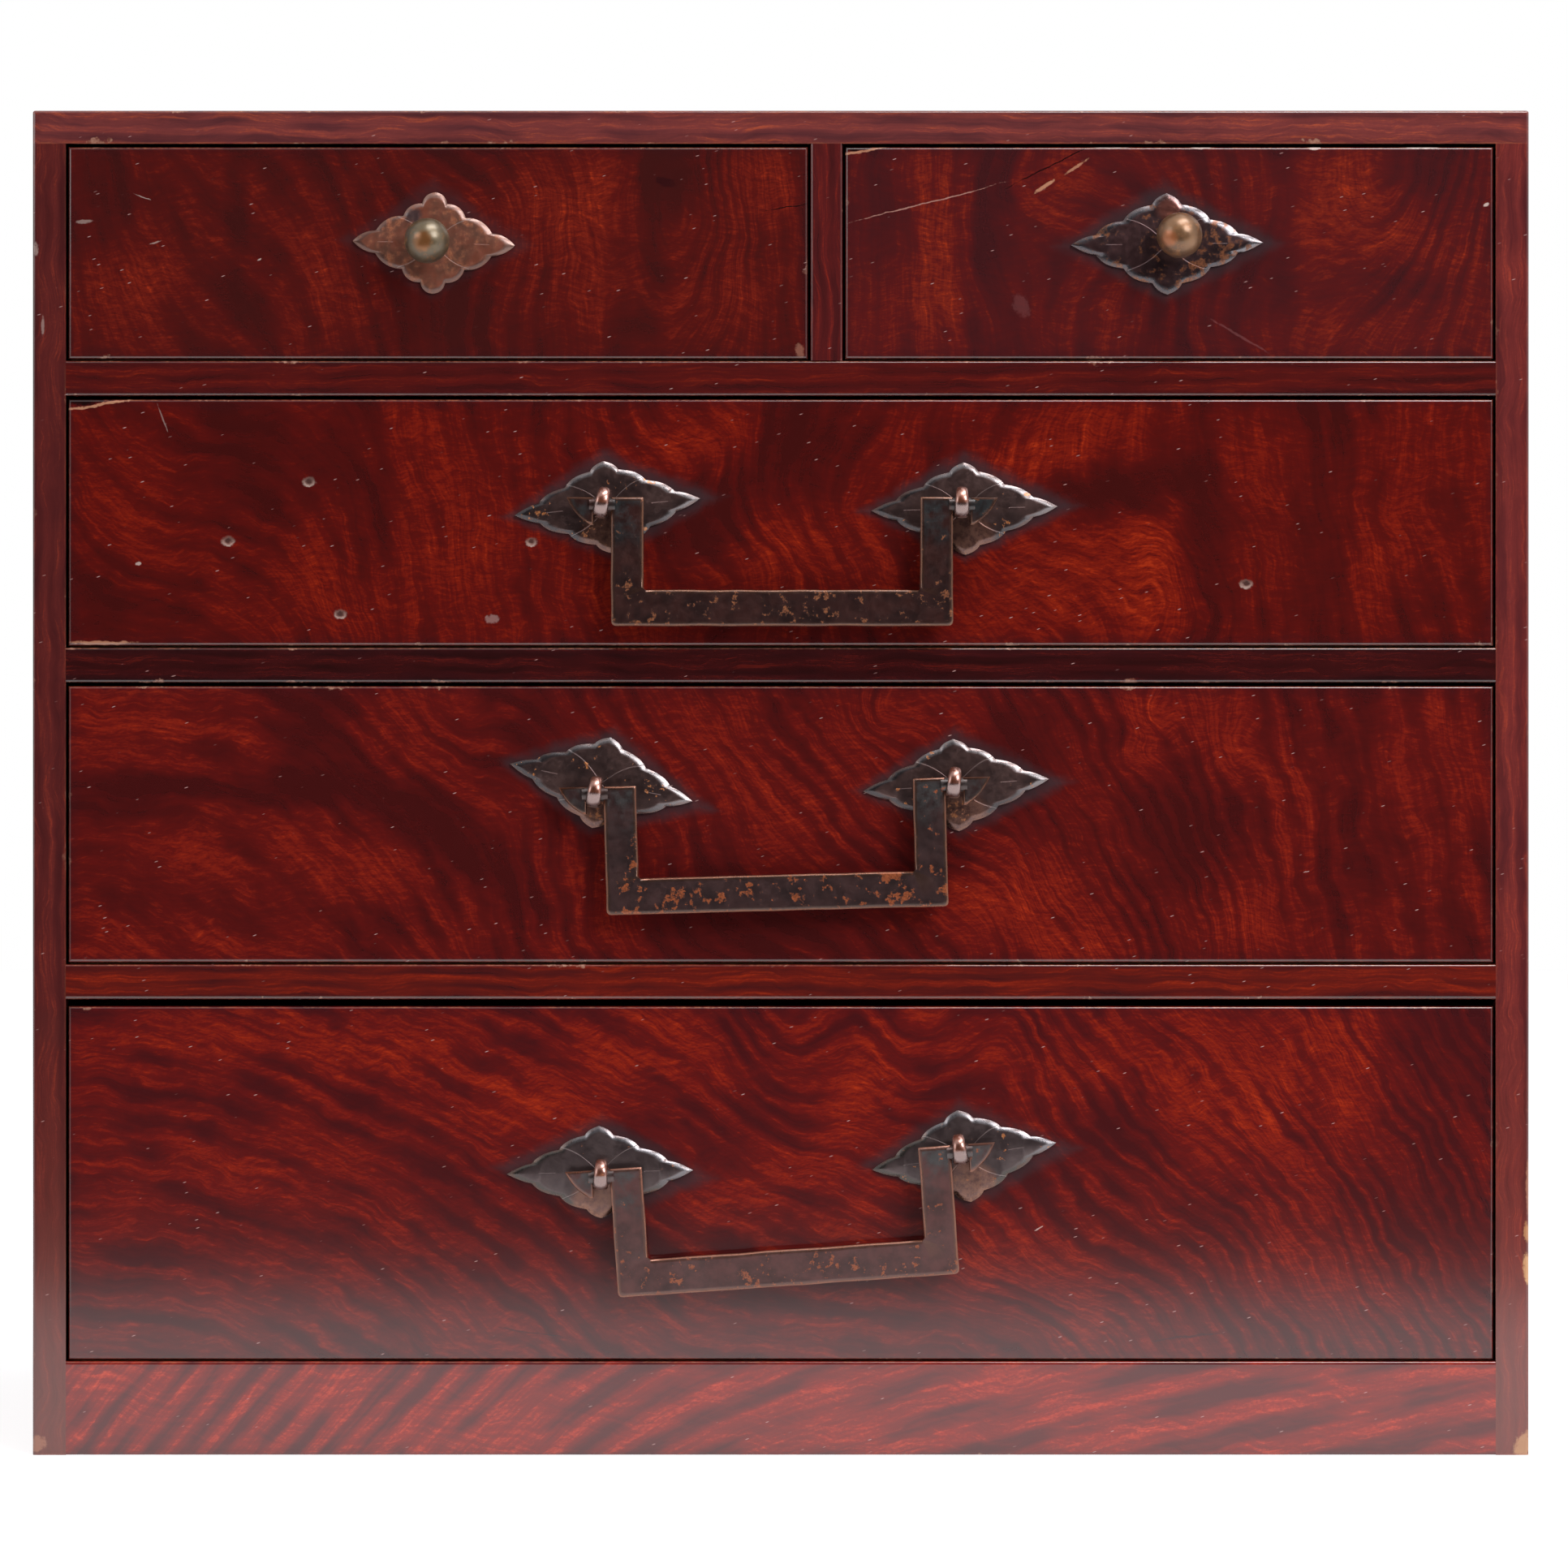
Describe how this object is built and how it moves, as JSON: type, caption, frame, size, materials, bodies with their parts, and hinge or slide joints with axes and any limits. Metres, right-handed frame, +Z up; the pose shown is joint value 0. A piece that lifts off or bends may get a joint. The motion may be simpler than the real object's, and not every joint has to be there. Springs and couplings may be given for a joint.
{
  "type": "sewing box",
  "caption": "Small lacquered wooden chest of drawers for sewing things, with round knobs on the upper drawers and square drop bails on the wide ones.",
  "frame": {"origin": "centre of the whole chest's underside, its knobs included, on the floor", "axes": "+X to the right seen from the front, +Y from the front to the back, +Z up"},
  "size_m": [0.36, 0.2536, 0.3235],
  "materials": {
    "show_wood": "red-brown wiped lacquer over strongly figured hardwood, worn at the edges",
    "plain_wood": "planed softwood, unfinished and aged",
    "peg_wood": "split hardwood pegs, unfinished",
    "dark_copper": "copper with a dark patina, rubbed bright on its edges",
    "red_copper": "copper with a worn red-brown patina",
    "bronze": "hand-rubbed bronze"
  },
  "bodies": {
    "case": {"top_panel": "show_wood", "side_left": "show_wood", "side_right": "show_wood", "back_panel": "plain_wood", "bottom_panel": "plain_wood", "base_rail": "show_wood", "rail_lower": "show_wood", "rail_middle": "show_wood", "rail_upper": "show_wood", "shelf_lower": "plain_wood", "shelf_middle": "plain_wood", "shelf_upper": "plain_wood", "stile": "show_wood", "divider": "plain_wood", "case_pegs": "peg_wood"},
    "upper_left_drawer": {"upper_left_front": "show_wood", "upper_left_side_l": "plain_wood", "upper_left_side_r": "plain_wood", "upper_left_back": "plain_wood", "upper_left_bottom": "plain_wood", "upper_left_pegs": "peg_wood", "upper_left_plate": "red_copper", "upper_left_knob": "bronze"},
    "upper_right_drawer": {"upper_right_front": "show_wood", "upper_right_side_l": "plain_wood", "upper_right_side_r": "plain_wood", "upper_right_back": "plain_wood", "upper_right_bottom": "plain_wood", "upper_right_pegs": "peg_wood", "upper_right_plate": "dark_copper", "upper_right_knob": "bronze"},
    "second_drawer": {"second_front": "show_wood", "second_side_l": "plain_wood", "second_side_r": "plain_wood", "second_back": "plain_wood", "second_bottom": "plain_wood", "second_pegs": "peg_wood", "second_plates": "dark_copper", "second_eye_pins": "red_copper"},
    "third_drawer": {"third_front": "show_wood", "third_side_l": "plain_wood", "third_side_r": "plain_wood", "third_back": "plain_wood", "third_bottom": "plain_wood", "third_pegs": "peg_wood", "third_plates": "dark_copper", "third_eye_pins": "red_copper"},
    "lowest_drawer": {"lowest_front": "show_wood", "lowest_side_l": "plain_wood", "lowest_side_r": "plain_wood", "lowest_back": "plain_wood", "lowest_bottom": "plain_wood", "lowest_pegs": "peg_wood", "lowest_plates": "dark_copper", "lowest_eye_pins": "red_copper"},
    "second_bail_loop": {"second_bail": "dark_copper"},
    "third_bail_loop": {"third_bail": "dark_copper"},
    "lowest_bail_loop": {"lowest_bail": "dark_copper"}
  },
  "joints": [
    {"name": "upper_left_slide", "type": "slide", "parent": "case", "child": "upper_left_drawer", "axis": [0, -1, 0], "range_m": [0, 0.18]},
    {"name": "upper_right_slide", "type": "slide", "parent": "case", "child": "upper_right_drawer", "axis": [0, -1, 0], "range_m": [0, 0.18]},
    {"name": "second_slide", "type": "slide", "parent": "case", "child": "second_drawer", "axis": [0, -1, 0], "range_m": [0, 0.18]},
    {"name": "third_slide", "type": "slide", "parent": "case", "child": "third_drawer", "axis": [0, -1, 0], "range_m": [0, 0.18]},
    {"name": "lowest_slide", "type": "slide", "parent": "case", "child": "lowest_drawer", "axis": [0, -1, 0], "range_m": [0, 0.18]},
    {"name": "second_bail_swing", "type": "hinge", "parent": "second_drawer", "child": "second_bail_loop", "pos_m": [0.0003, -0.1182, 0.22845], "axis": [-1, 0, 0], "range_deg": [-7, 180]},
    {"name": "third_bail_swing", "type": "hinge", "parent": "third_drawer", "child": "third_bail_loop", "pos_m": [-0.0015, -0.1182, 0.16015], "axis": [-0.9997, 0, -0.0262], "range_deg": [-7, 180]},
    {"name": "lowest_bail_swing", "type": "hinge", "parent": "lowest_drawer", "child": "lowest_bail_loop", "pos_m": [-0.0001, -0.1182, 0.0702], "axis": [-0.9976, 0, -0.0698], "range_deg": [-7, 180]}
  ]
}
